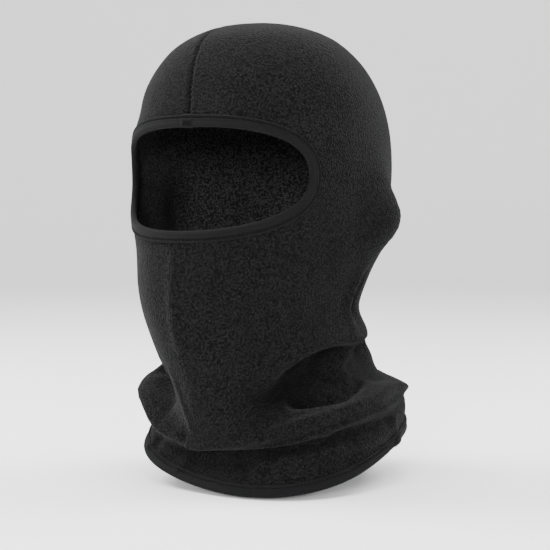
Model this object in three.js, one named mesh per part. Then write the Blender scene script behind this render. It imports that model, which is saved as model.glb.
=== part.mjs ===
// A fleece balaclava with one face opening, in the shape it takes when it is worn: a hood of two panels sewn
// together along the middle, a slouched roll round the neck and a short skirt under it. A stretch binding is
// sewn over the edge of the face opening and over the hem.
//
// Millimetres. The origin is where the crown of the head touches the inside of the hood. +Z is up, the face
// looks along -Y, and +X is the wearer's left. Azimuth 0 is the middle of the face and 90 the wearer's left.
import * as THREE from "three";

// Overall size
const HEAD_ROUND = 570; // round the head above the ears
const HOOD_DROP = 292; // from the crown down to the lowest point of the hem

// Cloth and thread
const FLEECE = 2.2; // thickness of the fleece
const PRESSED = 0.3; // how far a binding presses each face of the fleece in
const TAPE = 0.8; // thickness of the binding tape
const TOUCH = 0.3; // gap between pieces that touch
const THREAD_RADIUS = 0.4;
const SEAM_ALLOWANCE = 6; // from the seam to the overlocked edge inside
const TRIMMED_ALLOWANCE = 0.1; // where a binding or the roll leaves no room for it

// Face opening, measured to the fold of its binding
const OPENING_HALF_ANGLE = 56.5; // degrees from the middle of the face to each end
const OPENING_MIDDLE = -98.5; // height of its middle above the origin
const OPENING_HALF_HEIGHT = 31.5;
const OPENING_SQUARENESS = { above: 2.6, below: 2.1 }; // 2 is an ellipse, and more is squarer

// Bindings
const BINDING_WIDTH = 7.8; // from its fold to its sewn edge
const STITCH_FROM_EDGE = 1.9; // from its sewn edge to the stitches
const EDGE_ROOM = 1.4; // between the fleece's raw edge and the fold of the tape
const PRESSED_SLOPE = 2.5; // over which the fleece swells to its full thickness again
const TACK = { strands: 5, pitch: 1.5, fromFold: 1.2 }; // the stitches that close a binding into a ring

// The shape of the hood. Each level is a ring round the head or neck. A row gives how far the outside of the
// cloth reaches from the vertical axis, or at what height it is, at azimuths 0, 45, 90 ... 315. A row of five
// is the same on both sides: front, front side, side, back side, back. The rows are drawn for the sizes in
// DRAWN_FOR, and are scaled to the overall size.
const DRAWN_FOR = { headRound: 570, hoodDrop: 292 };
const LEVELS = [
  { name: "crown", reach: 0, height: 0 },
  { name: "top of the dome", reach: [30, 30, 29, 31, 33], height: -3.4 },
  { name: "shoulder of the dome", reach: [55, 56, 55, 58, 62], height: -16 },
  { name: "forehead", reach: [71, 73, 71, 76, 84], height: -38 },
  { name: "brow", reach: [77, 81, 77, 85, 95], height: -62 },
  { name: "eyes", reach: [80, 84, 79, 88, 97], height: -86 },
  { name: "cheekbones", reach: [85, 85, 78, 87, 94], height: -110 },
  { name: "upper lip", reach: [91, 83, 75, 80, 85], height: -138 },
  { name: "lower lip", reach: [94, 80, 69, 71, 71], height: -162 },
  { name: "jaw", reach: [93, 75, 64, 61, 56], height: -185 },
  {
    name: "fold under the jaw",
    reach: [87, 74, 70, 67, 62, 61, 62, 68],
    height: [-205, -206, -202, -196, -195, -195, -200, -205],
  },
  {
    name: "hollow of the neck",
    reach: [80, 68, 60, 68, 70, 62, 55, 60],
    height: [-224, -223, -216, -210, -209, -208, -211, -221],
  },
  {
    name: "tuck behind the roll",
    reach: [74, 69, 65, 75, 79, 71, 60, 56],
    height: [-244, -239, -230, -224, -224, -219, -218, -236],
  },
  {
    name: "top of the roll",
    reach: [70, 78, 81, 89, 92, 85, 76, 66],
    height: [-260, -249, -233, -230, -230, -221, -216, -242],
  },
  {
    name: "rim of the roll",
    reach: [68, 85, 91, 97, 99, 93, 87, 76],
    height: [-270, -259, -244, -238, -239, -233, -229, -252],
  },
  {
    name: "under the roll",
    reach: [62, 81, 87, 96, 99, 92, 82, 71],
    height: [-269, -263, -251, -244, -246, -242, -239, -256],
  },
  {
    name: "top of the skirt",
    reach: [60, 78, 84, 95, 98, 91, 79, 68],
    height: [-265, -263, -255, -248, -251, -247, -244, -256],
  },
  {
    name: "skirt",
    reach: [66, 82, 87, 96, 99, 93, 80, 72],
    height: [-278, -278, -267, -256, -259, -256, -253, -267],
  },
  {
    name: "hem",
    reach: [71, 86, 89, 97, 100, 95, 82, 77],
    height: [-292, -294, -279, -264, -267, -265, -263, -279],
  },
];
const BROW = 4; // indices of levels
const JAW = 9;
const SKIRT_TOP = 16;
const HEM = LEVELS.length - 1;
const EAR = { azimuth: 104, height: -124, halfWidth: 17, halfHeight: 26, reach: 16 }; // one on each side
const SEAM_LEAN = 0.55; // of the crown seam towards the wearer's right, in levels

// Mesh sizes
const CAP_CELLS = 6; // the crown is a square patch, with this many cells from the seam to its side
const CAP_LEVEL = 2;
const COLUMNS = 4 * CAP_CELLS; // from the seam in front to the seam behind
const ROWS_PER_LEVEL = 2;
const BLOCK_MARGIN = 8; // the least space round the bound opening, out to the cells that its rings replace

const turn = THREE.MathUtils.degToRad;
const mix = THREE.MathUtils.lerp;

// ------------------------------------------------------------------------------ the outside of the cloth

// A smooth periodic curve through eight values round the head.
function around(values) {
  let eight = values;
  if (values.length === 5) eight = [...values, values[3], values[2], values[1]];
  if (values.length === 1) eight = Array(8).fill(values[0]);
  const waves = [0, 1, 2, 3, 4].map((wave) => {
    const share = wave === 0 || wave === 4 ? 1 / 8 : 1 / 4;
    const part = (f, i) => eight[i] * f((wave * i * Math.PI) / 4);
    const sum = (f) => eight.reduce((total, value, i) => total + part(f, i), 0) * share;
    return { cos: sum(Math.cos), sin: wave === 4 ? 0 : sum(Math.sin) };
  });
  return (angle) =>
    waves.reduce(
      (total, { cos, sin }, wave) => total + cos * Math.cos(wave * angle) + sin * Math.sin(wave * angle),
      0,
    );
}

const scaled = (value, scale, plus) => (Array.isArray(value) ? value : [value]).map((v) => v * scale + plus);
const widening = HEAD_ROUND / DRAWN_FOR.headRound;
const lengthening = HOOD_DROP / DRAWN_FOR.hoodDrop;
const reachOf = LEVELS.map((level) => around(scaled(level.reach, widening, 0)));
const heightOf = LEVELS.map((level) => around(scaled(level.height, lengthening, FLEECE)));

// A smooth curve down through the levels, at a level that needn't be whole. Past the crown it goes on down
// the other side, where a height is the same and a reach is negative. Past the hem it goes straight on.
function downLevels(curves, level, angle, acrossCrown) {
  const at = (index) => {
    if (index < 0) return acrossCrown * curves[-index](angle);
    if (index > HEM) return 2 * curves[HEM](angle) - curves[2 * HEM - index](angle);
    return curves[index](angle);
  };
  const index = Math.min(Math.floor(level), HEM - 1);
  const f = level - index;
  const [a, b, c, d] = [at(index - 1), at(index), at(index + 1), at(index + 2)];
  return b + 0.5 * f * (c - a + f * (2 * a - 5 * b + 4 * c - d + f * (3 * (b - c) + d - a)));
}

const heightAt = (level, angle) => downLevels(heightOf, level, angle, 1);

function earBulge(reach, angle, height) {
  const up = (height - EAR.height) / EAR.halfHeight;
  const across = (side) => (reach * 2 * Math.sin((angle - side * turn(EAR.azimuth)) / 2)) / EAR.halfWidth;
  return [-1, 1].reduce((sum, side) => sum + EAR.reach * Math.exp(-(up * up) - across(side) ** 2), 0);
}

// A point of the cloth's outside. Its two coordinates are those of a flat map of the hood, which has the
// crown in the middle and is one unit wide for each level: level * sin(azimuth), -level * cos(azimuth).
function outside([mapX, mapY]) {
  const fromCrown = Math.min(1, Math.hypot(mapX, mapY) / BROW);
  const x = mapX - SEAM_LEAN * (1 - fromCrown ** 2) ** 2;
  const level = Math.hypot(x, mapY);
  const angle = Math.atan2(x, -mapY);
  const height = heightAt(level, angle);
  const reach = downLevels(reachOf, level, angle, -1);
  const bulged = reach + earBulge(reach, angle, height);
  return new THREE.Vector3(bulged * Math.sin(angle), -bulged * Math.cos(angle), height);
}

const onMap = (level, angle) => [level * Math.sin(angle), -level * Math.cos(angle)];

// The directions along the flat map's x, and out of the cloth
function directions([mapX, mapY]) {
  const step = 0.02;
  const alongX = outside([mapX + step, mapY]).sub(outside([mapX - step, mapY]));
  const alongY = outside([mapX, mapY + step]).sub(outside([mapX, mapY - step]));
  return { across: alongX.clone().normalize(), out: alongX.cross(alongY).normalize() };
}

const raised = (map, height) => outside(map).addScaledVector(directions(map).out, height);

// ------------------------------------------------------------------------------ the two bound edges

// The level at a height of the face
function levelAtHeight(height) {
  let [above, below] = [0, JAW];
  for (let halving = 0; halving < 40; halving++) {
    const middle = (above + below) / 2;
    if (heightAt(middle, 0) > height) above = middle;
    else below = middle;
  }
  return above;
}

// The face's radius beside the opening turns lengths into azimuths.
const FACE_RADIUS = downLevels(reachOf, levelAtHeight(OPENING_MIDDLE), turn(45), 1);
const onFace = (sideways, height) => onMap(levelAtHeight(height), sideways / FACE_RADIUS);

// The opening's outline from its top middle, round the wearer's left end, to its bottom middle, at equal
// steps: each point, and its direction away from the opening.
function openingOutline(steps) {
  const halfWidth = turn(OPENING_HALF_ANGLE) * FACE_RADIUS;
  const squareness = (y) => (y < 0 ? OPENING_SQUARENESS.below : OPENING_SQUARENESS.above);
  const curve = new THREE.CurvePath();
  const corners = Array.from({ length: 721 }, (_, i) => {
    const t = Math.PI * (0.5 - i / 720);
    const rounded = (value) => Math.sign(value) * Math.abs(value) ** (2 / squareness(Math.sin(t)));
    return new THREE.Vector2(halfWidth * rounded(Math.cos(t)), OPENING_HALF_HEIGHT * rounded(Math.sin(t)));
  });
  corners.slice(1).forEach((corner, i) => curve.add(new THREE.LineCurve(corners[i], corner)));
  return Array.from({ length: steps + 1 }, (_, i) => {
    const point = curve.getPoint(i / steps);
    const power = squareness(point.y) - 1;
    const slope = (value, half) => (Math.sign(value) * Math.abs(value / half) ** power) / half;
    const away = new THREE.Vector2(slope(point.x, halfWidth), slope(point.y, OPENING_HALF_HEIGHT));
    return { point, away: away.normalize() };
  });
}

// How far the fleece is pressed in at distances from a binding's fold, down to its raw edge inside the tape
const BOUND_ROWS = [
  { distance: BINDING_WIDTH + TOUCH + PRESSED_SLOPE, pressed: 0 },
  { distance: BINDING_WIDTH + TOUCH, pressed: PRESSED },
  { distance: BINDING_WIDTH / 2, pressed: PRESSED },
  { distance: TAPE + EDGE_ROOM, pressed: PRESSED },
];

// The cells that the opening's rings replace, from a row to a row and up to a column
const aroundOpening = OPENING_HALF_HEIGHT + BOUND_ROWS[0].distance + BLOCK_MARGIN;
const rowAt = (height) => (levelAtHeight(height) - CAP_LEVEL) * ROWS_PER_LEVEL;
const BLOCK = {
  top: Math.floor(rowAt(OPENING_MIDDLE + aroundOpening)),
  bottom: Math.ceil(rowAt(OPENING_MIDDLE - aroundOpening)),
  columns: Math.ceil(
    (turn(OPENING_HALF_ANGLE) + (BOUND_ROWS[0].distance + BLOCK_MARGIN) / FACE_RADIUS) / (Math.PI / COLUMNS),
  ),
};
const OPENING_STEPS = 2 * BLOCK.columns + BLOCK.bottom - BLOCK.top;
const outline = openingOutline(OPENING_STEPS);

// A place at a distance from the fold of the face binding, at one of the outline's steps
function fromOpening(step, distance) {
  const { point, away } = outline[step];
  return onFace(point.x + away.x * distance, OPENING_MIDDLE + point.y + away.y * distance);
}

// A place at a distance above the fold of the hem binding
function fromHem(angle, distance) {
  const pieces = 12;
  let level = HEM;
  for (let i = 0; i < pieces; i++) {
    const length = outside(onMap(level, angle)).distanceTo(outside(onMap(level - 0.01, angle))) / 0.01;
    level -= distance / pieces / length;
  }
  return onMap(level, angle);
}

const mirrored = ([mapX, mapY]) => [-mapX, mapY];

// Each bound edge: its places all the way round at a distance from the fold, and the places near the seam
// where the binding's ends are tacked together.
const faceEdge = {
  ring: (distance) => {
    const left = outline.map((_, step) => fromOpening(step, distance));
    return [...left, ...left.slice(1, -1).reverse().map(mirrored)];
  },
  nearSeam: (sideways, distance) => onFace(sideways, OPENING_MIDDLE + OPENING_HALF_HEIGHT + distance),
};
const hemEdge = {
  ring: (distance) => {
    return Array.from({ length: 2 * COLUMNS }, (_, i) => fromHem((i * Math.PI) / COLUMNS, distance));
  },
  nearSeam: (sideways, distance) => fromHem(Math.PI + sideways / LEVELS[HEM].reach[4], distance),
};

// ------------------------------------------------------------------------------ solids

// A solid bounded by cells of four corners, each cell split along its shorter diagonal
function solid(points, quads) {
  const position = points.flatMap((point) => point.toArray());
  const corner = (index) => points[index];
  const volume = quads.reduce((sum, [a, b, c, d]) => {
    const half = (p, q, r) => corner(p).dot(corner(q).clone().cross(corner(r)));
    return sum + half(a, b, c) + half(a, c, d);
  }, 0);
  const facing = volume > 0 ? quads : quads.map((quad) => [...quad].reverse());
  const geometry = new THREE.BufferGeometry();
  geometry.setAttribute("position", new THREE.Float32BufferAttribute(position, 3));
  const span = (a, b) => corner(a).distanceTo(corner(b));
  const halves = ([a, b, c, d]) => (span(a, c) < span(b, d) ? [a, b, c, a, c, d] : [b, c, d, b, d, a]);
  geometry.setIndex(facing.flatMap(halves));
  geometry.computeVertexNormals();
  return geometry;
}

// A closed ring: the same closed section at each station of a closed path
function ringSolid(stations) {
  const size = stations[0].length;
  const index = (station, corner) => (station % stations.length) * size + (corner % size);
  const quads = stations.flatMap((section, i) => {
    return section.map((_, j) => [index(i, j), index(i, j + 1), index(i + 1, j + 1), index(i + 1, j)]);
  });
  return solid(stations.flat(), quads);
}

function threadSection(sides) {
  return new THREE.Shape(
    Array.from({ length: sides }, (_, i) => {
      const angle = (2 * Math.PI * i) / sides;
      return new THREE.Vector2(THREAD_RADIUS * Math.cos(angle), THREAD_RADIUS * Math.sin(angle));
    }),
  );
}

function thread(points, stepsPerPoint) {
  return new THREE.ExtrudeGeometry(threadSection(6), {
    steps: stepsPerPoint * (points.length - 1),
    extrudePath: new THREE.CatmullRomCurve3(points),
  });
}

// ------------------------------------------------------------------------------ the panels

// One half of the hood as cells of the flat map, on the wearer's left. Each place has its coordinates on the
// map and says whether a binding presses it, and whether it is on the seam and how wide the allowance is.
function panelPlan() {
  const places = [];
  const cells = [];
  const place = (map, extra = {}) => places.push({ map, pressed: 0, ...extra }) - 1;

  const cap = new Map();
  for (let i = 0; i <= CAP_CELLS; i++) {
    for (let j = -CAP_CELLS; j <= CAP_CELLS; j++) {
      const ring = Math.max(i, Math.abs(j));
      let eighths = 0;
      if (ring > 0 && -j === ring) eighths = i / ring;
      else if (ring > 0 && j === ring) eighths = 4 - i / ring;
      else if (ring > 0) eighths = 2 + j / ring;
      cap.set(`${i},${j}`, place(onMap((CAP_LEVEL * ring) / CAP_CELLS, (eighths * Math.PI) / 4)));
    }
  }
  for (let i = 0; i < CAP_CELLS; i++) {
    for (let j = -CAP_CELLS; j < CAP_CELLS; j++) {
      const corners = [[i, j], [i + 1, j], [i + 1, j + 1], [i, j + 1]];
      cells.push(corners.map((corner) => cap.get(corner.join(","))));
    }
  }
  const capSide = (column) => {
    if (column <= CAP_CELLS) return cap.get(`${column},${-CAP_CELLS}`);
    if (column >= 3 * CAP_CELLS) return cap.get(`${COLUMNS - column},${CAP_CELLS}`);
    return cap.get(`${CAP_CELLS},${column - 2 * CAP_CELLS}`);
  };

  const levelRows = (SKIRT_TOP - CAP_LEVEL) * ROWS_PER_LEVEL;
  const inBlock = (row, column) => row > BLOCK.top && row < BLOCK.bottom && column < BLOCK.columns;
  const rows = [Array.from({ length: COLUMNS + 1 }, (_, column) => capSide(column))];
  for (let row = 1; row <= levelRows + 1 + BOUND_ROWS.length; row++) {
    const line = [];
    for (let column = 0; column <= COLUMNS; column++) {
      const angle = (column * Math.PI) / COLUMNS;
      if (inBlock(row, column)) line.push(null);
      else if (row <= levelRows) line.push(place(onMap(CAP_LEVEL + row / ROWS_PER_LEVEL, angle)));
      else if (row === levelRows + 1) {
        const lower = fromHem(angle, BOUND_ROWS[0].distance);
        const upper = onMap(SKIRT_TOP, angle);
        line.push(place(upper.map((value, i) => mix(value, lower[i], 0.5))));
      } else {
        const { distance, pressed } = BOUND_ROWS[row - levelRows - 2];
        line.push(place(fromHem(angle, distance), { pressed }));
      }
    }
    rows.push(line);
  }
  for (let row = 0; row < rows.length - 1; row++) {
    for (let column = 0; column < COLUMNS; column++) {
      if (row >= BLOCK.top && row < BLOCK.bottom && column < BLOCK.columns) continue;
      const [above, below] = [rows[row], rows[row + 1]];
      cells.push([above[column], below[column], below[column + 1], above[column + 1]]);
    }
  }

  const border = [
    ...rows[BLOCK.top].slice(0, BLOCK.columns),
    ...rows.slice(BLOCK.top, BLOCK.bottom).map((line) => line[BLOCK.columns]),
    ...rows[BLOCK.bottom].slice(0, BLOCK.columns + 1).reverse(),
  ];
  const rings = BOUND_ROWS.toReversed().map(({ distance, pressed }) => {
    return outline.map((_, step) => place(fromOpening(step, distance), { pressed }));
  });
  rings.push(border);
  for (let ring = 0; ring < rings.length - 1; ring++) {
    for (let step = 0; step < OPENING_STEPS; step++) {
      const [ringIn, ringOut] = [rings[ring], rings[ring + 1]];
      cells.push([ringIn[step], ringIn[step + 1], ringOut[step + 1], ringOut[step]]);
    }
  }
  return { places, cells };
}

const edgesOf = (cell) => cell.map((from, i) => [from, cell[(i + 1) % cell.length]]);

function borderEdges(cells) {
  const used = new Set(cells.flatMap(edgesOf).map(String));
  return cells.flatMap(edgesOf).filter(([from, to]) => !used.has(String([to, from])));
}

// The middle seam is free of the binding above and below these levels. It keeps its full allowance down to
// the jaw behind, and down to a little below the opening in front.
const openingTop = levelAtHeight(OPENING_MIDDLE + OPENING_HALF_HEIGHT + BINDING_WIDTH + 2 * PRESSED_SLOPE);
const openingBottom = levelAtHeight(OPENING_MIDDLE - OPENING_HALF_HEIGHT - BINDING_WIDTH - 2 * PRESSED_SLOPE);
const CHIN_SEAM_END = Math.ceil(openingBottom) + 1;

function allowanceAt({ map, pressed }) {
  const end = map[1] < 0 ? CHIN_SEAM_END : JAW;
  return pressed > 0 || Math.hypot(...map) > end ? TRIMMED_ALLOWANCE : SEAM_ALLOWANCE;
}

// A panel is two skins a cloth's thickness apart, joined along its raw edges. Along the seam it turns inwards
// and ends in the allowance.
function panel(side) {
  const plan = panelPlan();
  const onSeam = (index) => Math.abs(plan.places[index].map[0]) < 1e-9;
  const outer = [];
  const inner = [];
  const tips = new Map();
  plan.places.forEach((spot, index) => {
    const map = side > 0 ? spot.map : mirrored(spot.map);
    const { across, out } = directions(map);
    const surface = outside(map).addScaledVector(out, -spot.pressed);
    const depth = FLEECE - 2 * spot.pressed;
    if (onSeam(index)) surface.addScaledVector(across, (side * TOUCH) / 2);
    outer.push(surface);
    const sideways = onSeam(index) ? side * FLEECE : 0;
    inner.push(surface.clone().addScaledVector(out, -depth).addScaledVector(across, sideways));
    if (onSeam(index)) tips.set(index, { surface, across, out, depth: depth + allowanceAt(spot) });
  });
  const flange = new Map();
  tips.forEach(({ surface, across, out, depth }, index) => {
    const tip = surface.clone().addScaledVector(out, -depth);
    flange.set(index, outer.push(tip) - 1);
    inner.push(tip.clone().addScaledVector(across, side * FLEECE));
  });
  const seam = borderEdges(plan.cells).filter(([from, to]) => onSeam(from) && onSeam(to));
  const skin = [...plan.cells, ...seam.map(([from, to]) => [to, from, flange.get(from), flange.get(to)])];
  const below = (index) => index + outer.length;
  const quads = [
    ...skin,
    ...skin.map((cell) => cell.map(below).reverse()),
    ...borderEdges(skin).map(([from, to]) => [to, from, below(from), below(to)]),
  ];
  return solid([...outer, ...inner], quads);
}

// ------------------------------------------------------------------------------ bindings and threads

// The tape's section, as distances from its fold and heights above the outside of the cloth: it covers the
// edge outside, turns round it and covers it inside.
function tapeSection() {
  const middle = -FLEECE / 2;
  const inside = FLEECE / 2 - PRESSED + TOUCH;
  const arc = (radius, angles) => {
    return angles.map((angle) => {
      const x = inside + TAPE - radius * Math.sin(turn(angle));
      return [x, middle + radius * Math.cos(turn(angle))];
    });
  };
  const half = BINDING_WIDTH / 2;
  return [
    [BINDING_WIDTH, middle + inside + TAPE],
    [half, middle + inside + TAPE],
    ...arc(inside + TAPE, [0, 36, 72, 108, 144, 180]),
    [half, middle - inside - TAPE],
    [BINDING_WIDTH, middle - inside - TAPE],
    [BINDING_WIDTH, middle - inside],
    [half, middle - inside],
    ...arc(inside, [180, 120, 60, 0]),
    [half, middle + inside],
    [BINDING_WIDTH, middle + inside],
  ];
}

function binding(edge) {
  const lines = tapeSection().map(([distance, height]) => {
    return edge.ring(distance).map((map) => raised(map, height));
  });
  return ringSolid(lines[0].map((_, station) => lines.map((line) => line[station])));
}

const OVER_TAPE = -PRESSED + TOUCH + TAPE + TOUCH + THREAD_RADIUS; // height of a thread that lies on the tape
const UNDER_TAPE = -FLEECE - OVER_TAPE;

// A closed ring of thread that lies on one face of a binding
function bindingThread(edge, height) {
  const sides = 6;
  const centre = BINDING_WIDTH - STITCH_FROM_EDGE;
  const lines = Array.from({ length: sides }, (_, i) => {
    const angle = (2 * Math.PI * i) / sides;
    const distance = centre + THREAD_RADIUS * Math.cos(angle);
    return edge.ring(distance).map((map) => raised(map, height + THREAD_RADIUS * Math.sin(angle)));
  });
  return ringSolid(lines[0].map((_, station) => lines.map((line) => line[station])));
}

// Stitches to and fro across a binding, where its two ends meet
function tack(edge) {
  const besideStitches = BINDING_WIDTH - STITCH_FROM_EDGE - 3 * THREAD_RADIUS - TOUCH;
  const points = [];
  for (let strand = 0; strand < TACK.strands; strand++) {
    const sideways = (strand - (TACK.strands - 1) / 2) * TACK.pitch;
    const ends = strand % 2 ? [besideStitches, TACK.fromFold] : [TACK.fromFold, besideStitches];
    const stations = [0, 0.5, 1].map((f) => edge.nearSeam(sideways, mix(ends[0], ends[1], f)));
    points.push(...stations.map((map) => raised(map, OVER_TAPE)));
  }
  return thread(points, 3);
}

// The overlock thread along the tips of the seam allowances, inside, between two levels. A level is negative
// in front of the crown and positive behind it.
function overlockThread(from, to) {
  const steps = Math.round(Math.abs(to - from) * 2);
  const depth = FLEECE + SEAM_ALLOWANCE + 2 * TOUCH + THREAD_RADIUS;
  const points = Array.from({ length: steps + 1 }, (_, i) => raised([0, mix(from, to, i / steps)], -depth));
  return thread(points, 1);
}

// ------------------------------------------------------------------------------ the balaclava

const fleece = { color: 0x17181a, roughness: 0.95, metalness: 0 };
const jersey = { color: 0x141416, roughness: 0.75, metalness: 0 };
const polyester = { color: 0x101012, roughness: 0.6, metalness: 0 };

const balaclava = new THREE.Group();

function piece(name, geometry, finish) {
  const mesh = new THREE.Mesh(geometry, new THREE.MeshStandardMaterial(finish));
  mesh.name = name;
  balaclava.add(mesh);
}

const row = 1 / ROWS_PER_LEVEL; // the overlock threads end this far from where the allowance narrows

piece("left_panel", panel(1), fleece);
piece("right_panel", panel(-1), fleece);
piece("face_binding", binding(faceEdge), jersey);
piece("hem_binding", binding(hemEdge), jersey);
piece("face_needle_thread", bindingThread(faceEdge, OVER_TAPE), polyester);
piece("face_looper_thread", bindingThread(faceEdge, UNDER_TAPE), polyester);
piece("hem_needle_thread", bindingThread(hemEdge, OVER_TAPE), polyester);
piece("hem_looper_thread", bindingThread(hemEdge, UNDER_TAPE), polyester);
piece("crown_overlock_thread", overlockThread(-openingTop, JAW - row), polyester);
piece("chin_overlock_thread", overlockThread(row - CHIN_SEAM_END, -openingBottom), polyester);
piece("face_binding_tack", tack(faceEdge), polyester);
piece("hem_binding_tack", tack(hemEdge), polyester);

export default balaclava;
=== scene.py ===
import bmesh
import bpy
import math
from mathutils import Matrix, Vector
from mathutils.bvhtree import BVHTree
from mathutils.kdtree import KDTree
from mathutils.noise import noise


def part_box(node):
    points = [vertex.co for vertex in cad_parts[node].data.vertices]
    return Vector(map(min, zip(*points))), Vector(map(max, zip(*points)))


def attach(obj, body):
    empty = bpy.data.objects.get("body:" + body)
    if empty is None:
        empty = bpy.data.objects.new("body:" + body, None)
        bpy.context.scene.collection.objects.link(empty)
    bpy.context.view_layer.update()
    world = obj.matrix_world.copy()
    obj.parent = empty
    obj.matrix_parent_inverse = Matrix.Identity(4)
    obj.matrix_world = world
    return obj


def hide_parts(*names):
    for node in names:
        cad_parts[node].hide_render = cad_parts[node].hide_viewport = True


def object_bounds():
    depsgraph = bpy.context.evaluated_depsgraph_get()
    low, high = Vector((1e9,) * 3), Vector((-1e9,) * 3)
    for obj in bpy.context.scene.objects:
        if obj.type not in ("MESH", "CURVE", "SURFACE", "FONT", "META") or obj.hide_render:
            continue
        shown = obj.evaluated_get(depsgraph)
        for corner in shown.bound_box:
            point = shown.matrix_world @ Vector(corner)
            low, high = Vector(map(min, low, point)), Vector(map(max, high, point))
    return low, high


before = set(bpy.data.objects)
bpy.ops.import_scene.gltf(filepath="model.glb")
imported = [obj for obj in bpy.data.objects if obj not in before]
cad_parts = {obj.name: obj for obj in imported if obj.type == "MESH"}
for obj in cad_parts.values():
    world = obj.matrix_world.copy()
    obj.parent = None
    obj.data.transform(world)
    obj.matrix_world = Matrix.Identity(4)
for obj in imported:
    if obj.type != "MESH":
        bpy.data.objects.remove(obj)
cad_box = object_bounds()


# ---------------------------------------------------------------- the camera
# A long lens looks from the wearer's front left, a little above the middle of the hood.

view_azimuth = math.radians(35)  # towards the wearer's left
view_elevation = math.radians(3)
camera_distance = 1.1
aim = Vector((0.0074, 0.0052, -0.161))
towards_camera = Vector((math.sin(view_azimuth) * math.cos(view_elevation),
                         -math.cos(view_azimuth) * math.cos(view_elevation),
                         math.sin(view_elevation)))
bpy.ops.object.camera_add(location=aim + towards_camera * camera_distance)
camera = bpy.context.object
camera.name = "camera"
camera.rotation_euler = towards_camera.to_track_quat("Z", "Y").to_euler()
camera.data.lens = 110.2
camera.data.sensor_width = 36
bpy.context.scene.camera = camera


# ---------------------------------------------------------------- the studio
# The hood stands on a white floor that sweeps up into a wall all round. Soft lights hang over the camera's
# left, behind on the right and overhead, and a white sky over the open top fills the shadows.

floor_gap = 0.001  # under the hem
floor_middle = (0, 0, cad_box[0][2] - floor_gap)
floor_radius = 2.2
sweep_radius = 0.9
sweep_steps = 12
wall_height = 1.2
bpy.ops.object.select_all(action="DESELECT")
bpy.ops.mesh.primitive_circle_add(vertices=96, radius=floor_radius, fill_type="NGON", location=floor_middle)
floor = bpy.context.object
floor.name = "floor"
bpy.ops.object.mode_set(mode="EDIT")
bpy.ops.mesh.select_all(action="SELECT")
reach = floor_radius
for step in range(1, sweep_steps + 2):
    turned = math.radians(90) * min(step, sweep_steps) / sweep_steps
    before = math.radians(90) * (step - 1) / sweep_steps
    climb = sweep_radius * (math.cos(before) - math.cos(turned)) if step <= sweep_steps else wall_height
    wider = floor_radius + sweep_radius * math.sin(turned)
    bpy.ops.mesh.extrude_edges_move(TRANSFORM_OT_translate={"value": (0, 0, climb)})
    bpy.ops.transform.resize(value=(wider / reach, wider / reach, 1), center_override=floor_middle)
    reach = wider
bpy.ops.object.mode_set(mode="OBJECT")
floor.data.shade_smooth()
paint = bpy.data.materials.new("floor_paint")
paint.use_nodes = True
paint_shader = paint.node_tree.nodes["Principled BSDF"]
paint_shader.inputs["Base Color"].default_value = (0.93, 0.93, 0.93, 1)
paint_shader.inputs["Roughness"].default_value = 0.9
floor.data.materials.append(paint)


def soft_light(name, azimuth, elevation, distance, size, power):
    """A square area light that faces the hood from an azimuth about it, where 0 is in front of the face."""
    a, e = math.radians(azimuth), math.radians(elevation)
    way = Vector((math.sin(a) * math.cos(e), -math.cos(a) * math.cos(e), math.sin(e)))
    bpy.ops.object.light_add(type="AREA", location=aim + way * distance)
    light = bpy.context.object
    light.name = name
    light.data.energy = power
    light.data.size = size
    light.visible_camera = False
    light.rotation_euler = way.to_track_quat("Z", "Y").to_euler()


soft_light("key_light", azimuth=-70, elevation=46, distance=1.5, size=0.7, power=34)
soft_light("rim_light", azimuth=142, elevation=50, distance=1.5, size=0.7, power=22)
soft_light("face_light", azimuth=24, elevation=10, distance=2.0, size=0.4, power=42)
soft_light("top_light", azimuth=20, elevation=84, distance=1.7, size=1.0, power=34)

sky = bpy.data.worlds.new("sky")
sky.use_nodes = True
sky.node_tree.nodes["Background"].inputs["Color"].default_value = (1, 1, 1, 1)
sky.node_tree.nodes["Background"].inputs["Strength"].default_value = 0.85
bpy.context.scene.world = sky


# ---------------------------------------------------------------- the fleece panels
# Each half of the hood is one piece of micro fleece, sewn to the other along the middle with its edges
# turned in. It starts as a copy of the CAD panel, is rounded to a soft skin, and gets its folds, its
# puckered seams and its pile.

SIDES = ("left", "right")
MERGE_DISTANCE = 0.00001
HEAD_AXIS = 0.012  # how far behind the crown the axis of the head is
DOME_MIDDLE = -0.1  # the height of the middle of the dome
LOWEST_HEM = -0.3


def cloth_copy(node, name):
    """A copy of a CAD piece with its corners merged and its triangles joined into four-sided cells."""
    bpy.ops.object.select_all(action="DESELECT")
    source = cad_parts[node]
    copy = source.copy()
    copy.data = source.data.copy()
    copy.data.materials.clear()
    copy.name = name
    bpy.context.collection.objects.link(copy)
    bpy.context.view_layer.objects.active = copy
    copy.select_set(True)
    bpy.ops.object.mode_set(mode="EDIT")
    bpy.ops.mesh.select_all(action="SELECT")
    bpy.ops.mesh.remove_doubles(threshold=MERGE_DISTANCE)
    bpy.ops.mesh.tris_convert_to_quads(face_threshold=math.radians(70), shape_threshold=math.radians(100))
    bpy.ops.object.mode_set(mode="OBJECT")
    return copy


def rounded(piece, levels):
    """Rounds a piece with a subdivision surface and leaves it smooth."""
    modifier = piece.modifiers.new("rounding", "SUBSURF")
    modifier.levels = levels
    modifier.render_levels = levels
    bpy.context.view_layer.objects.active = piece
    bpy.ops.object.modifier_apply(modifier="rounding")
    piece.data.shade_smooth()


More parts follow.
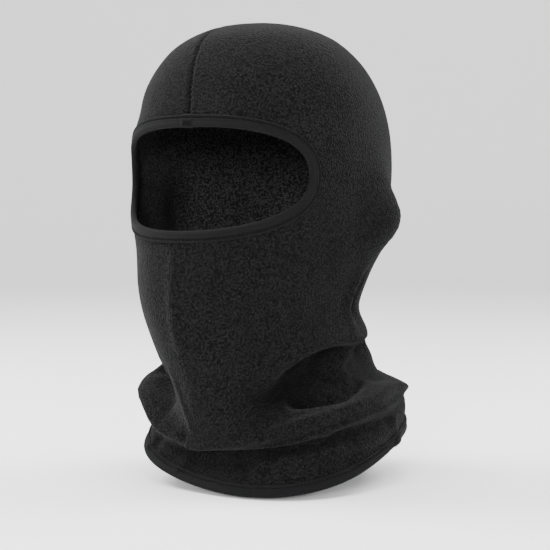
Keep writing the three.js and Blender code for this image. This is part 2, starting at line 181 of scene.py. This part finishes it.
def finer(piece, wanted, cuts):
    """Cuts the faces of a piece whose centre is wanted into smaller ones."""
    bpy.ops.object.select_all(action="DESELECT")
    bpy.context.view_layer.objects.active = piece
    piece.select_set(True)
    bpy.ops.object.mode_set(mode="EDIT")
    bpy.ops.mesh.select_mode(type="FACE")
    bpy.ops.mesh.select_all(action="DESELECT")
    bpy.ops.object.mode_set(mode="OBJECT")
    for face in piece.data.polygons:
        face.select = wanted(face)
    bpy.ops.object.mode_set(mode="EDIT")
    bpy.ops.mesh.subdivide(number_cuts=cuts)
    bpy.ops.object.mode_set(mode="OBJECT")


def outward(place):
    """The way out of the head at a place: from its middle in the dome, and level below it."""
    middle = Vector((0, HEAD_AXIS, max(min(place.z, DOME_MIDDLE), LOWEST_HEM)))
    return (place - middle).normalized()


def tree_of(points):
    """A tree that finds the nearest of some points by its number."""
    tree = KDTree(len(points))
    for index, point in enumerate(points):
        tree.insert(point, index)
    tree.balance()
    return tree


# The corners that are sewn to the other panel are pressed into it, so that no light shows between the two.
# The seam's edges stay sharper than the rest, most of all down the chin, where the seam stands up.

SEWN_GAP = 0.0004
SEWN_OVERLAP = 0.0003
CHIN_CREASE = 0.9
SEAM_CREASE = 0.6
CHIN_TOP = -0.12
CHIN_BACK = -0.03
FACING = 0.3  # how squarely a face looks out to belong to the outside
panels = {side: cloth_copy(f"{side}_panel", f"{side}_fleece") for side in SIDES}
corners = {side: tree_of([v.co for v in panels[side].data.vertices]) for side in SIDES}
for side, other in (SIDES, SIDES[::-1]):
    mesh = panels[side].data
    sewn = set()
    for vertex in mesh.vertices:
        met, index, gap = corners[other].find(vertex.co)
        if gap < SEWN_GAP:
            sewn.add(vertex.index)
    sharp = mesh.attributes.new("crease_edge", "FLOAT", "EDGE")
    kinds_beside = {}
    for face in mesh.polygons:
        mates = all(v in sewn for v in face.vertices)
        facing_out = face.normal.dot(outward(face.center)) > FACING
        for key in face.edge_keys:
            kinds_beside.setdefault(key, []).append("mate" if mates else "out" if facing_out else "in")
    for edge in mesh.edges:
        if all(v in sewn for v in edge.vertices):
            kinds = kinds_beside[edge.key]
            ends = [mesh.vertices[v].co for v in edge.vertices]
            chin = all(end.y < CHIN_BACK and end.z < CHIN_TOP for end in ends)
            sharp.data[edge.index].value = CHIN_CREASE if chin else SEAM_CREASE
            edge.use_seam = "out" in kinds and "mate" in kinds
    for index in sewn:
        vertex = mesh.vertices[index]
        met, index, gap = corners[other].find(vertex.co)
        vertex.co += (met - vertex.co).normalized() * (gap / 2 + SEWN_OVERLAP)


# Each panel is rounded twice, and cut finer beside the seams in between, to hold the puckers.

FINE_REACH = 0.008


def seam_points(mesh):
    """The ends of a mesh's seam edges."""
    return [mesh.vertices[v].co.copy() for e in mesh.edges if e.use_seam for v in e.vertices]


for side in SIDES:
    panel = panels[side]
    rounded(panel, 1)
    near = tree_of(seam_points(panel.data))
    finer(panel, lambda face: near.find(face.center)[2] < FINE_REACH and
          face.normal.dot(outward(face.center)) > 0.2, cuts=2)
    rounded(panel, 1)


def smooth_route(points, spacing, closed=False):
    """Points about a spacing apart on a smooth curve through the given ones."""
    count = len(points)
    route = []
    for i in range(count if closed else count - 1):
        before = points[i - 1] if closed else points[max(i - 1, 0)]
        start = points[i]
        end = points[(i + 1) % count]
        after = points[(i + 2) % count] if closed else points[min(i + 2, count - 1)]
        steps = max(1, round((end - start).length / spacing))
        for step in range(steps):
            t = step / steps
            route.append(start + ((end - before) * t + (before * 2 - start * 5 + end * 4 - after) * t * t
                                  + (start * 3 - before - end * 3 + after) * t ** 3) / 2)
    if not closed:
        route.append(points[-1].copy())
    return route


def skin_of(pieces):
    """The surface of some pieces, to aim at."""
    corners_of, faces_of = [], []
    for piece in pieces:
        first = len(corners_of)
        corners_of += [v.co.copy() for v in piece.data.vertices]
        faces_of += [[first + v for v in p.vertices] for p in piece.data.polygons]
    return BVHTree.FromPolygons(corners_of, faces_of)


# The folds. Each is a line over the outside, through points given by their azimuth in degrees, from the
# face towards the wearer's left, and their height in mm. The cloth is moved in or out along it. A ridge
# stands out, a valley goes in, and a lip stands out on one side, above or on the left as the line is
# followed, over a hollow.

ROUTE_STEP = 2  # between the places along a fold, in degrees and mm
BEYOND_SKIN = 0.3  # further from the axis than any cloth
FOLD_MARGIN = 0.02
FOLD_REACH = 3  # in half-widths of the fold
FOLD_THROUGH = 0.012  # a fold moves nothing that is further than this over or under the skin
LIP_SCALE = 2.33  # makes a lip stand out by its depth
bare_skin = skin_of(panels.values())
folds = []


def fold(kind, depth, width, points, overhang=0, fade=0.25):
    """Lays one fold of a kind along its points, with its depth, half-width and overhang in mm."""
    spots, normals = [], []
    for place in smooth_route([Vector(p) for p in points], ROUTE_STEP):
        azimuth = math.radians(place.x)
        way = Vector((math.sin(azimuth), -math.cos(azimuth), 0))
        middle = Vector((0, HEAD_AXIS, place.y / 1000))
        spot, normal, *rest = bare_skin.ray_cast(middle + way * BEYOND_SKIN, -way)
        if spot is not None:
            spots.append(spot)
            normals.append(normal)
    lines = []
    last = len(spots) - 1
    for i, spot in enumerate(spots):
        along = (spots[min(i + 2, last)] - spots[max(i - 2, 0)]).normalized()
        normal = sum(normals[max(i - 3, 0):i + 4], Vector()).normalized()
        share = min(1, i / last / fade, (1 - i / last) / fade)
        lines.append((spot, along, normal, normal.cross(along).normalized(), share * share * (3 - 2 * share)))
    low = [min(s[k] for s in spots) - FOLD_MARGIN for k in range(3)]
    high = [max(s[k] for s in spots) + FOLD_MARGIN for k in range(3)]
    folds.append((kind, depth / 1000, width / 1000, overhang / 1000, lines, tree_of(spots), low, high))


def folded(place):
    """Where the folds take a place on the cloth."""
    moved = place.copy()
    for kind, depth, width, overhang, lines, tree, low, high in folds:
        if not all(low[k] < place[k] < high[k] for k in range(3)):
            continue
        index = tree.find(place)[1]
        spot, along, normal, across, share = lines[index]
        offset = place - spot
        u = offset.dot(across) / width
        beyond = offset.dot(along) / width
        if abs(u) > FOLD_REACH or abs(offset.dot(normal)) > FOLD_THROUGH:
            continue
        strength = share * math.exp(-beyond * beyond)
        if kind == "ridge":
            moved += normal * (depth * strength * math.exp(-u * u))
        elif kind == "valley":
            moved -= normal * (depth * strength * math.exp(-u * u))
        else:
            moved += normal * (depth * strength * LIP_SCALE * u * math.exp(-u * u))
        if overhang:
            moved -= across * (overhang * strength * math.exp(-(u - 0.4) ** 2 * 2))
    return moved


# the wearer's left: the cheek hangs in a soft lip over the hollow of the neck, and the roll bulges below it
fold("lip", 5.5, 9, [(30, -228), (38, -219), (48, -208), (59, -203), (74, -201), (92, -200), (116, -200)],
     overhang=3)
fold("valley", 7, 9, [(18, -242), (30, -236), (40, -231), (51, -225), (61, -218), (71, -211), (82, -206)],
     fade=0.35)
fold("valley", 7, 4.5, [(40, -236), (52, -236), (66, -234), (78, -230), (92, -226)], fade=0.2)
fold("valley", 3, 7, [(84, -226), (98, -226), (112, -226), (130, -226), (150, -227)], fade=0.3)
fold("ridge", 3, 7, [(34, -252), (50, -248), (66, -244), (81, -241), (92, -240), (104, -240)])
fold("ridge", 6.5, 6.5, [(96, -205), (86, -207), (78, -212), (75, -218), (78, -224), (86, -227)], fade=0.2)
fold("ridge", 3.5, 9, [(100, -212), (116, -213), (132, -214), (152, -214)], fade=0.3)
fold("ridge", 2.5, 8, [(100, -243), (116, -244), (134, -246), (152, -248)], fade=0.3)
# the fold up the back of the jaw, over the nape
fold("lip", 2.8, 5.5, [(84, -194), (85, -180), (88, -168), (94, -150)], fade=0.4)
# the front of the neck hangs from the chin in a flat bib, and the roll on the wearer's right stands off it
fold("ridge", 1.2, 3, [(-10, -214), (-9, -222), (-8, -230), (-6, -240), (-3, -252), (-1, -262)])
fold("valley", 10, 6, [(-17, -212), (-19, -222), (-21, -231), (-30, -233), (-42, -229), (-56, -224),
                       (-70, -221)], fade=0.2)
fold("valley", 4, 8, [(-56, -224), (-70, -222), (-90, -221), (-115, -222), (-140, -226)])
fold("ridge", 2.5, 7, [(-14, -250), (-26, -246), (-40, -242), (-56, -238), (-72, -234), (-90, -232),
                       (-120, -236)])
fold("lip", 2.5, 7, [(-104, -200), (-88, -198), (-70, -200), (-54, -204), (-40, -206)], overhang=1, fade=0.4)
fold("ridge", 2, 5, [(-106, -206), (-92, -209), (-82, -214), (-78, -220)], fade=0.3)
# the roll's lower rim over the skirt
fold("lip", 3, 4.5, [(-175, -260), (-140, -260), (-100, -252), (-75, -249), (-50, -256), (-24, -264),
                     (-2, -267), (22, -262), (42, -253), (58, -246), (78, -239), (104, -234), (140, -240),
                     (175, -250)], overhang=1.2, fade=0.05)
fold("valley", 3, 6.5, [(-150, -271), (-100, -263), (-75, -260), (-50, -267), (-24, -274), (-2, -276),
                        (22, -272), (42, -264), (58, -258), (76, -252), (96, -248)], fade=0.15)
# creases down the skirt
skirt_creases = [(-12, -272, 1, 1.4), (26, -266, 16, 1.8), (56, -254, 9, 1.6), (-38, -266, -5, 1.6),
                 (-84, -258, -8, 1.2), (-118, -262, 7, 1.5), (-160, -268, 6, 1.3), (150, -258, -9, 1.4)]
for azimuth, top, drift, depth in skirt_creases:
    fold("ridge", depth, 4.5, [(azimuth, top), (azimuth + drift / 2, top - 8), (azimuth + drift, top - 18)])
# wrinkles across the nape
fold("valley", 2.4, 5, [(108, -184), (130, -188), (160, -187), (190, -188), (222, -190), (248, -184)])
fold("valley", 2.0, 5, [(150, -206), (175, -210), (205, -208), (235, -210)])
# the ears under the cloth, and the faint crease that each pulls in the cheek
for ear in (104, -104):
    fold("ridge", 4.5, 12, [(ear, -104), (ear, -116), (ear, -126), (ear, -144)], fade=0.45)
fold("valley", 0.9, 3.5, [(56, -101), (70, -102), (85, -101), (101, -102)])
fold("valley", 0.8, 3.5, [(-101, -103), (-85, -104), (-70, -103), (-58, -104)])
# the chin seam stands up in a soft ridge
fold("ridge", 1.8, 5, [(0.3, -138), (0.3, -155), (0.3, -172), (0.3, -190), (0.3, -208)], fade=0.2)

RUMPLE = 0.0008
RUMPLE_SIZE = 0.034
LOOSE_FROM = -0.13  # the height from which the cloth hangs loose
LOOSE_OVER = 0.08
TIGHT_SHARE = 0.25


def rumpled(place):
    """Where a place goes in the slow unevenness of worn cloth, which grows down the neck."""
    loose = min(1, max(TIGHT_SHARE, (LOOSE_FROM - place.z) / LOOSE_OVER))
    return outward(place) * (noise(place / RUMPLE_SIZE) * RUMPLE * loose)


# The seams are puckered: the stitches draw the cloth down at each turn of the thread, with painted shade
# as deep as it goes in.

SEAM_PITCH = 0.0033
# painted shade: the cloth is darkened as far as a fold or a pucker takes it in, fully at these depths
FOLD_SHADE_FULL_DEPTH = 0.008  # how far a fold goes in where its cloth is darkest
PUCKER_SHADE_FULL_DEPTH = 0.001  # and a pucker


def lengths_along(line):
    """How far along a line each of its points is."""
    lengths = [0]
    for a, b in zip(line, line[1:]):
        lengths.append(lengths[-1] + (b - a).length)
    return lengths


def seam_lines(mesh):
    """The lines of seam edges of a mesh, each in order, as points."""
    following = {}
    for edge in mesh.edges:
        if edge.use_seam:
            a, b = edge.vertices
            following.setdefault(a, []).append(b)
            following.setdefault(b, []).append(a)
    lines = []
    unused = set(following)
    for end in [v for v, n in following.items() if len(n) == 1]:
        if end not in unused:
            continue
        line, current = [], end
        while current is not None:
            line.append(mesh.vertices[current].co.copy())
            unused.discard(current)
            current = next((n for n in following[current] if n in unused), None)
        lines.append(line)
    return lines


def pucker(piece, line, pitch, valley, pit, width, above=0.0):
    """Draws a piece's cloth in along a line, and deeper at each stitch, with painted shade where it goes in.
    """
    lengths = lengths_along(line)
    tree = tree_of(line)
    moves = {}
    for vertex in piece.data.vertices:
        spot, index, gap = tree.find(vertex.co)
        if gap > 4 * width or vertex.normal.dot(outward(vertex.co)) < 0.1:
            continue
        along = (line[min(index + 1, len(line) - 1)] - line[max(index - 1, 0)]).normalized()
        offset = vertex.co - spot
        run = lengths[index] + offset.dot(along)
        side = (offset - along * offset.dot(along)).length
        stitch = 0.5 + 0.5 * math.cos(2 * math.pi * run / pitch)
        slope = math.exp(-(side / width) ** 2)
        depth = valley * slope + pit * stitch ** 2 * math.exp(-(side / (0.7 * width)) ** 2)
        rise = above * math.exp(-((side - 2.2 * width) / width) ** 2) * (0.7 + 0.3 * stitch)
        moves[vertex.index] = outward(vertex.co) * (rise - depth)
        # painted shade: the cloth is darkened as deep as the seam draws it in
        shade = piece.data.attributes["painted_shade"].data[vertex.index]
        shade.value = min(1, shade.value + depth / PUCKER_SHADE_FULL_DEPTH)
    for index, move in moves.items():
        piece.data.vertices[index].co += move


for side in SIDES:
    panel = panels[side]
    # painted shade: each place is marked darker as far as the folds take it in
    painted_shade = panel.data.attributes.new("painted_shade", "FLOAT", "POINT")
    for vertex in panel.data.vertices:
        moved = folded(vertex.co)
        inwards = (vertex.co - moved).dot(outward(vertex.co))
        painted_shade.data[vertex.index].value = min(1, max(0, inwards / FOLD_SHADE_FULL_DEPTH))
        vertex.co = moved + rumpled(moved)
    panel.data.update()
    for line in seam_lines(panel.data):
        in_front = all(p.y < 0 and p.z < CHIN_TOP for p in line)
        if in_front:
            pucker(panel, line, SEAM_PITCH, valley=0, pit=0.0001, width=0.0012)
        else:
            pucker(panel, line, SEAM_PITCH, valley=0.0009, pit=0.0012, width=0.0017, above=0.0001)

# The fleece is matt black, with a pile of small nubs that is a little paler at its tips. Its inside is
# painted lighter down to the neck: painted light, for the light that falls into the hood.

PAINTED_LIGHT_DOWN_TO = -0.21
PAINTED_LIGHT_OVER = 0.03
FACING_SHARPNESS = 4
for side in SIDES:
    mesh = panels[side].data
    # painted light: marks the fleece that faces in, down to the neck, to be painted lighter
    inside = mesh.attributes.new("inside", "FLOAT", "POINT")
    for vertex in mesh.vertices:
        facing_in = min(1, max(0, -vertex.normal.dot(outward(vertex.co)) * FACING_SHARPNESS))
        high_up = min(1, max(0, (vertex.co.z - PAINTED_LIGHT_DOWN_TO) / PAINTED_LIGHT_OVER))
        inside.data[vertex.index].value = facing_in * high_up


def material(name, color, roughness, specular=0.5, sheen=0.0, sheen_roughness=0.5):
    """A material with its plain numbers set on the shader, and its nodes to add to."""
    made = bpy.data.materials.new(name)
    made.use_nodes = True
    shader = made.node_tree.nodes["Principled BSDF"]
    shader.inputs["Base Color"].default_value = (*color, 1)
    shader.inputs["Roughness"].default_value = roughness
    shader.inputs["Specular IOR Level"].default_value = specular
    shader.inputs["Sheen Weight"].default_value = sheen
    shader.inputs["Sheen Roughness"].default_value = sheen_roughness
    return made, made.node_tree.nodes, made.node_tree.links, shader


fleece, nodes, links, shader = material("fleece_pile", (0.008, 0.008, 0.0085), 0.98, specular=0.06,
                                        sheen=0.03, sheen_roughness=0.35)
place = nodes.new("ShaderNodeTexCoord")
curls = nodes.new("ShaderNodeTexNoise")
curls.inputs["Scale"].default_value = 420
curls.inputs["Detail"].default_value = 2
curl = nodes.new("ShaderNodeVectorMath")
curl.operation = "MULTIPLY_ADD"
curl.inputs[1].default_value = (0.0013, 0.0013, 0.0013)
nubs = nodes.new("ShaderNodeTexVoronoi")
nubs.inputs["Scale"].default_value = 740
fibres = nodes.new("ShaderNodeTexNoise")
fibres.inputs["Scale"].default_value = 840
fibres.inputs["Detail"].default_value = 2
worn = nodes.new("ShaderNodeTexNoise")
worn.inputs["Scale"].default_value = 60
worn.inputs["Detail"].default_value = 3
links.new(place.outputs["Object"], curls.inputs["Vector"])
links.new(place.outputs["Object"], fibres.inputs["Vector"])
links.new(place.outputs["Object"], worn.inputs["Vector"])
links.new(curls.outputs["Color"], curl.inputs[0])
links.new(place.outputs["Object"], curl.inputs[2])
links.new(curl.outputs["Vector"], nubs.inputs["Vector"])
pile = nodes.new("ShaderNodeMath")
pile.operation = "MULTIPLY_ADD"
pile.inputs[1].default_value = 1.1
links.new(fibres.outputs["Fac"], pile.inputs[0])
links.new(nubs.outputs["Distance"], pile.inputs[2])
bump = nodes.new("ShaderNodeBump")
bump.invert = True
bump.inputs["Strength"].default_value = 0.6
bump.inputs["Distance"].default_value = 0.0011
links.new(pile.outputs[0], bump.inputs["Height"])
links.new(bump.outputs["Normal"], shader.inputs["Normal"])
tone = nodes.new("ShaderNodeValToRGB")
tone.color_ramp.elements[0].position = 0.55
tone.color_ramp.elements[0].color = (0.0114, 0.0114, 0.0117, 1)
tone.color_ramp.elements[1].position = 1.0
tone.color_ramp.elements[1].color = (0.0021, 0.0021, 0.0023, 1)
scaled = nodes.new("ShaderNodeMath")
scaled.operation = "MULTIPLY"
scaled.inputs[1].default_value = 0.8
links.new(pile.outputs[0], scaled.inputs[0])
links.new(scaled.outputs[0], tone.inputs["Fac"])
wear = nodes.new("ShaderNodeMix")
wear.data_type = "RGBA"
wear.blend_type = "MULTIPLY"
wear.inputs["Factor"].default_value = 0.25
links.new(tone.outputs["Color"], wear.inputs["A"])
links.new(worn.outputs["Fac"], wear.inputs["B"])
# painted light: where the fleece faces in, its colour is brightened
inside_light_mask = nodes.new("ShaderNodeAttribute")
inside_light_mask.attribute_name = "inside"
painted_inside_light = nodes.new("ShaderNodeMix")
painted_inside_light.data_type = "RGBA"
painted_inside_light.blend_type = "ADD"
lifted = nodes.new("ShaderNodeVectorMath")
lifted.operation = "SCALE"
lifted.inputs["Scale"].default_value = 2.4
links.new(inside_light_mask.outputs["Fac"], painted_inside_light.inputs["Factor"])
links.new(wear.outputs["Result"], painted_inside_light.inputs["A"])
links.new(wear.outputs["Result"], lifted.inputs[0])
links.new(lifted.outputs["Vector"], painted_inside_light.inputs["B"])
# painted shade: the fleece's colour goes towards near black where the folds and seams go in
hollow = nodes.new("ShaderNodeAttribute")
hollow.attribute_name = "painted_shade"
painted_shade_mix = nodes.new("ShaderNodeMix")
painted_shade_mix.data_type = "RGBA"
painted_shade_mix.inputs["B"].default_value = (0.002, 0.002, 0.0022, 1)
share = nodes.new("ShaderNodeMath")
share.operation = "MULTIPLY"
share.inputs[1].default_value = 0.85
links.new(hollow.outputs["Fac"], share.inputs[0])
links.new(share.outputs[0], painted_shade_mix.inputs["Factor"])
links.new(painted_inside_light.outputs["Result"], painted_shade_mix.inputs["A"])
links.new(painted_shade_mix.outputs["Result"], shader.inputs["Base Color"])

for side in SIDES:
    panel = panels[side]
    panel.data.materials.append(fleece)
    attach(panel, "root")
    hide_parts(f"{side}_panel")


# ---------------------------------------------------------------- the bindings
# The face opening and the hem are bound with a folded tape of smooth jersey, sewn down by a cover stitch
# that sinks a groove along it and leaves a thin lip outside. The tape's ends lap over each other, in the
# middle of the forehead and at the back.

STITCH_PITCH = 0.0029
LINE_SPACING = 0.0004
THREAD_RING = 0.0005  # longer than an edge round a CAD thread, and shorter than one along it


def thread_line(name):
    """The middle line of a CAD thread, in order round its loop."""
    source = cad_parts[name].data
    merged = bmesh.new()
    merged.from_mesh(source)
    bmesh.ops.remove_doubles(merged, verts=merged.verts, dist=MERGE_DISTANCE)
    rings, ring_of = [], {}
    for start in merged.verts:
        if start in ring_of:
            continue
        ring, waiting = [], [start]
        ring_of[start] = len(rings)
        while waiting:
            vertex = waiting.pop()
            ring.append(vertex)
            for edge in vertex.link_edges:
                other = edge.other_vert(vertex)
                if edge.calc_length() < THREAD_RING and other not in ring_of:
                    ring_of[other] = len(rings)
                    waiting.append(other)
        rings.append(ring)
    middles = [sum((v.co for v in ring), Vector()) / len(ring) for ring in rings]
    nearby = [set() for ring in rings]
    for edge in merged.edges:
        a, b = (ring_of[v] for v in edge.verts)
        if a != b:
            nearby[a].add(b)
            nearby[b].add(a)
    ends = [i for i, n in enumerate(nearby) if len(n) == 1]
    current = ends[0] if ends else 0
    order, used = [], set()
    while current is not None:
        order.append(middles[current])
        used.add(current)
        current = next((n for n in sorted(nearby[current]) if n not in used), None)
    merged.free()
    return order, not ends


def sewn_line(name):
    """The line of a CAD thread after the folds."""
    points, closed = thread_line(name)
    return smooth_route([folded(p) + rumpled(p) for p in points], LINE_SPACING, closed)


GROOVE = 0.0005  # depths, heights and half-widths of what the stitches press into the tape
GROOVE_WIDTH = 0.0008
PIT = 0.0009
PIT_WIDTH = 0.0009
PUFF = 0.0003
PUFF_LIP = 0.0014  # from the stitches to the top of the lip, and to the top of the tape's fold
PUFF_LIP_WIDTH = 0.0005
PUFF_FOLD = 0.004
PUFF_FOLD_WIDTH = 0.0018
GROOVE_SHADE_FULL_DEPTH = 0.0009  # how deep the tape is darkest
GROOVE_SHADE = 0.6
LAP = 0.0005  # how thick the lapped ends stand out
LAP_EDGE = 0.0002
JOIN_HALF_WIDTH = 0.0042
JOIN_REACH = 0.015
TAPE_REACH = 0.01  # further from the stitches than any of the tape
tapes = {}
rows = {}
joins = {}
for name in ("face", "hem"):
    line = sewn_line(f"{name}_needle_thread")
    tape = cloth_copy(f"{name}_binding", f"{name}_tape")
    rounded(tape, 3)
    tree = tree_of(line)
    lengths = lengths_along(line)
    pitch = lengths[-1] / round(lengths[-1] / STITCH_PITCH)
    low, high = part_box(f"{name}_binding_tack")
    join = folded((Vector(low) + Vector(high)) / 2)
    # painted shade: the tape is marked darker in the stitches' groove and pits
    painted_groove_shade = tape.data.attributes.new("painted_shade", "FLOAT", "POINT")
    for vertex in tape.data.vertices:
        vertex.co = folded(vertex.co) + rumpled(vertex.co)
    tape.data.update()
    moves = []
    for vertex in tape.data.vertices:
        spot, index, gap = tree.find(vertex.co)
        if gap > TAPE_REACH or vertex.normal.dot(outward(vertex.co)) < 0:
            continue
        phase = 0.5 + 0.5 * math.cos(2 * math.pi * lengths[index] / pitch)
        groove = GROOVE * math.exp(-(gap / GROOVE_WIDTH) ** 2)
        pit = PIT * phase ** 2 * math.exp(-(gap / PIT_WIDTH) ** 2)
        puff = PUFF * math.exp(-((gap - PUFF_LIP) / PUFF_LIP_WIDTH) ** 2)
        puff += PUFF * math.exp(-((gap - PUFF_FOLD) / PUFF_FOLD_WIDTH) ** 2)
        beside = abs(vertex.co.x - join.x)
        near_join = (vertex.co - join).length < JOIN_REACH and beside < TAPE_REACH
        lapped = LAP / (1 + math.exp((beside - JOIN_HALF_WIDTH) / LAP_EDGE)) if near_join else 0
        painted_groove_shade.data[vertex.index].value = min(1, (GROOVE_SHADE * groove + pit) / GROOVE_SHADE_FULL_DEPTH)
        moves.append((vertex.index, vertex.normal * (puff + lapped - groove - pit)))
    for index, move in moves:
        tape.data.vertices[index].co += move
    tape.data.update()
    tapes[name], rows[name], joins[name] = tape, line, join

jersey, nodes, links, shader = material("jersey_knit", (0.0045, 0.0045, 0.0048), 0.9, specular=0.08,
                                        sheen=0.015)
place = nodes.new("ShaderNodeTexCoord")
loops = nodes.new("ShaderNodeTexVoronoi")
loops.inputs["Scale"].default_value = 1500
links.new(place.outputs["Object"], loops.inputs["Vector"])
bump = nodes.new("ShaderNodeBump")
bump.inputs["Strength"].default_value = 0.35
bump.inputs["Distance"].default_value = 0.0002
links.new(loops.outputs["Distance"], bump.inputs["Height"])
links.new(bump.outputs["Normal"], shader.inputs["Normal"])
tone = nodes.new("ShaderNodeValToRGB")
tone.color_ramp.elements[0].color = (0.0058, 0.0058, 0.0062, 1)
tone.color_ramp.elements[1].color = (0.003, 0.003, 0.0033, 1)
links.new(loops.outputs["Distance"], tone.inputs["Fac"])
# painted shade: the tape's colour goes towards black in the groove and pits of the stitches
hollow = nodes.new("ShaderNodeAttribute")
hollow.attribute_name = "painted_shade"
shaded = nodes.new("ShaderNodeMix")
shaded.data_type = "RGBA"
shaded.inputs["B"].default_value = (0.0004, 0.0004, 0.0005, 1)
links.new(hollow.outputs["Fac"], shaded.inputs["Factor"])
links.new(tone.outputs["Color"], shaded.inputs["A"])
links.new(shaded.outputs["Result"], shader.inputs["Base Color"])

for name, tape in tapes.items():
    tape.data.materials.append(jersey)
    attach(tape, "root")
    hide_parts(f"{name}_binding")


# ---------------------------------------------------------------- the threads
# The threads are spun polyester. The needle thread of the cover stitch lies in the groove of each binding
# as a row of short arched stitches, and its looper thread zigzags inside. Every stitch is a copy of one.

thread, nodes, links, shader = material("spun_thread", (0.0028, 0.0028, 0.003), 0.85, specular=0.05)
place = nodes.new("ShaderNodeTexCoord")
twist = nodes.new("ShaderNodeTexNoise")
twist.inputs["Scale"].default_value = 2600
links.new(place.outputs["Object"], twist.inputs["Vector"])
bump = nodes.new("ShaderNodeBump")
bump.inputs["Strength"].default_value = 0.4
bump.inputs["Distance"].default_value = 0.0001
links.new(twist.outputs["Fac"], bump.inputs["Height"])
links.new(bump.outputs["Normal"], shader.inputs["Normal"])


def joined_copies(name, shape, places):
    """One piece made of a copy of a small mesh at each place."""
    made = bmesh.new()
    for where in places:
        first = len(made.verts)
        made.from_mesh(shape)
        made.verts.ensure_lookup_table()
        for vertex in made.verts[first:]:
            vertex.co = where @ vertex.co
    mesh = bpy.data.meshes.new(name)
    made.to_mesh(mesh)
    made.free()
    piece = bpy.data.objects.new(name, mesh)
    bpy.context.collection.objects.link(piece)
    mesh.shade_smooth()
    return piece


# one stitch, along X with its ends turned down into the cloth
STITCH_LENGTH = 0.0019
THREAD_WIDTH = 0.00055
STITCH_CUTS = (-0.36, -0.18, 0.18, 0.36)  # where it bends, as shares of its length
STITCH_DIP = 0.0006  # how far its ends go down
STITCH_TAPER = 0.35
STITCH_RISE = 0.00005
bpy.ops.object.select_all(action="DESELECT")
bpy.ops.mesh.primitive_cylinder_add(vertices=6, radius=THREAD_WIDTH / 2, depth=STITCH_LENGTH,
                                    end_fill_type="NGON", rotation=(0, math.radians(90), 0))
stitch = bpy.context.object
stitch.name = "one_stitch"
bpy.ops.object.transform_apply(location=True, rotation=True, scale=True)
bpy.ops.object.mode_set(mode="EDIT")
bpy.ops.mesh.select_all(action="SELECT")
bpy.ops.mesh.bisect(plane_co=(0, 0, 0), plane_no=(1, 0, 0))
bpy.ops.object.mode_set(mode="OBJECT")
shape = bmesh.new()
shape.from_mesh(stitch.data)
for cut in STITCH_CUTS:
    geometry = shape.verts[:] + shape.edges[:] + shape.faces[:]
    bmesh.ops.bisect_plane(shape, geom=geometry, plane_co=(cut * STITCH_LENGTH, 0, 0), plane_no=(1, 0, 0))
for vertex in shape.verts:
    share = abs(vertex.co.x) / (STITCH_LENGTH / 2)
    vertex.co.z += STITCH_RISE - STITCH_DIP * share ** 3
    vertex.co.y *= 1 - STITCH_TAPER * share ** 4
shape.to_mesh(stitch.data)
shape.free()
stitch_mesh = stitch.data
bpy.data.objects.remove(stitch)


STITCH_LIFT = 0.0001  # of each stitch off the cloth


def stitched(name, line, cloth, pitch, lean, stretch, node):
    """A row of stitches along a line on some cloth, leaning to and fro, in place of a CAD thread."""
    lengths = lengths_along(line)
    count = round(lengths[-1] / pitch)
    surface = skin_of(cloth)
    places = []
    index = 1
    for i in range(count):
        while index < len(line) - 2 and lengths[index] < (i + 0.5) * lengths[-1] / count:
            index += 1
        spot, normal, *rest = surface.find_nearest(line[index])
        along = (line[index + 1] - line[index - 1]).normalized()
        along = (along - normal * along.dot(normal)).normalized()
        turned = Matrix((along, normal.cross(along), normal)).transposed().to_4x4()
        turned = turned @ Matrix.Rotation(math.radians(lean if i % 2 else -lean), 4, "Z")
        longer = Matrix.Diagonal((stretch, 1, 1, 1))
        places.append(Matrix.Translation(spot + normal * STITCH_LIFT) @ turned @ longer)
    row = joined_copies(name, stitch_mesh, places)
    row.data.materials.append(thread)
    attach(row, "root")
    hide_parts(node)


for name, tape in tapes.items():
    needle, looper = f"{name}_needle_thread", f"{name}_looper_thread"
    stitched(f"{name}_stitches", rows[name], [tape], STITCH_PITCH, lean=0, stretch=1, node=needle)
    stitched(f"{name}_looper_stitches", sewn_line(looper), [tape], STITCH_PITCH / 2, lean=38, stretch=1.5,
             node=looper)

# Inside, an overlock thread wraps the trimmed edges of both seams.

OVERLOCK_PITCH = 0.0016
for name in ("crown", "chin"):
    overlock = f"{name}_overlock_thread"
    stitched(f"{name}_overlock_stitches", sewn_line(overlock), panels.values(), OVERLOCK_PITCH, lean=62,
             stretch=2.05, node=overlock)

# A bar tack closes each binding into a ring, with strands side by side over the lapped ends.

TACK_STRANDS = 8
TACK_PITCH = 0.0008
tack_thread, *rest = material("tack_thread", (0.0036, 0.0036, 0.0039), 0.8, specular=0.08)
tack_stretch = Matrix.Diagonal((2.05, 1, 1, 1))
for name, tape in tapes.items():
    surface = skin_of([tape])
    join = joins[name]
    middle, normal, *rest = surface.find_nearest(join)
    sideways = Vector((1, 0, 0))
    sideways = (sideways - normal * normal.x).normalized()
    places = []
    for i in range(TACK_STRANDS):
        from_middle = (i - (TACK_STRANDS - 1) / 2) * TACK_PITCH
        spot, normal, *rest = surface.find_nearest(middle + sideways * from_middle)
        up = normal.cross(sideways)
        turned = Matrix((up, normal.cross(up), normal)).transposed().to_4x4()
        places.append(Matrix.Translation(spot + normal * STITCH_LIFT) @ turned @ tack_stretch)
    tack = joined_copies(f"{name}_bar_tack", stitch_mesh, places)
    tack.data.materials.append(tack_thread)
    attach(tack, "root")
    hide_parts(f"{name}_binding_tack")
